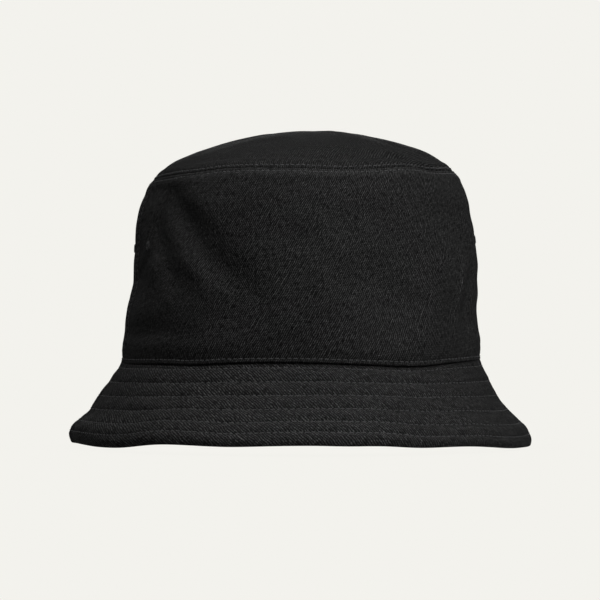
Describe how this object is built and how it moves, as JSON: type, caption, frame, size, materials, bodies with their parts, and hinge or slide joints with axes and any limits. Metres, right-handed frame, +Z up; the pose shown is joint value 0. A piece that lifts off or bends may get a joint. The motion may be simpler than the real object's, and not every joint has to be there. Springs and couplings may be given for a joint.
{
  "type": "bucket hat",
  "caption": "Soft cotton-twill bucket hat: oval domed crown from two side panels and a tip, and a sloping brim quilted in concentric rows.",
  "frame": {"origin": "centre of the plane of the brim's bottom edge", "axes": "+Z up, -Y to the hat's front, +X and -X through the side seams"},
  "size_m": [0.2368, 0.2508, 0.1607],
  "materials": {
    "black_twill": "matte cotton twill with a fine diagonal rib",
    "black_thread": "slightly glossy spun thread",
    "black_tape": "matte plain-weave tape",
    "black_band": "matte fine twill band",
    "interlining": "matte non-woven felt",
    "blank_label": "satin woven label, blank"
  },
  "bodies": {
    "hat": {"brim_interlining_back": "interlining", "brim_interlining_front": "interlining", "brim_under_back": "black_twill", "brim_under_front": "black_twill", "brim_upper_back": "black_twill", "brim_upper_front": "black_twill", "care_label": "blank_label", "crown_side_back": "black_twill", "crown_side_front": "black_twill", "eyelet_left_back": "black_thread", "eyelet_left_front": "black_thread", "eyelet_right_back": "black_thread", "eyelet_right_front": "black_thread", "side_seam_tape_left": "black_tape", "side_seam_tape_right": "black_tape", "stitch_brim_row_1": "black_thread", "stitch_brim_row_2": "black_thread", "stitch_brim_row_3": "black_thread", "stitch_brim_row_4": "black_thread", "stitch_brim_row_5": "black_thread", "stitch_brim_row_6": "black_thread", "stitch_crown_hem": "black_thread", "stitch_side_left_back": "black_thread", "stitch_side_left_front": "black_thread", "stitch_side_right_back": "black_thread", "stitch_side_right_front": "black_thread", "stitch_sweatband": "black_thread", "stitch_tip_lower": "black_thread", "sweatband": "black_band"},
    "crown_top": {"crown_tip": "black_twill", "tip_seam_tape": "black_tape", "stitch_tip_upper": "black_thread"}
  },
  "joints": [
    {"name": "crown_collapse", "type": "slide", "parent": "hat", "child": "crown_top", "axis": [0, 0, 1], "range_m": [-0.06, 0]}
  ]
}
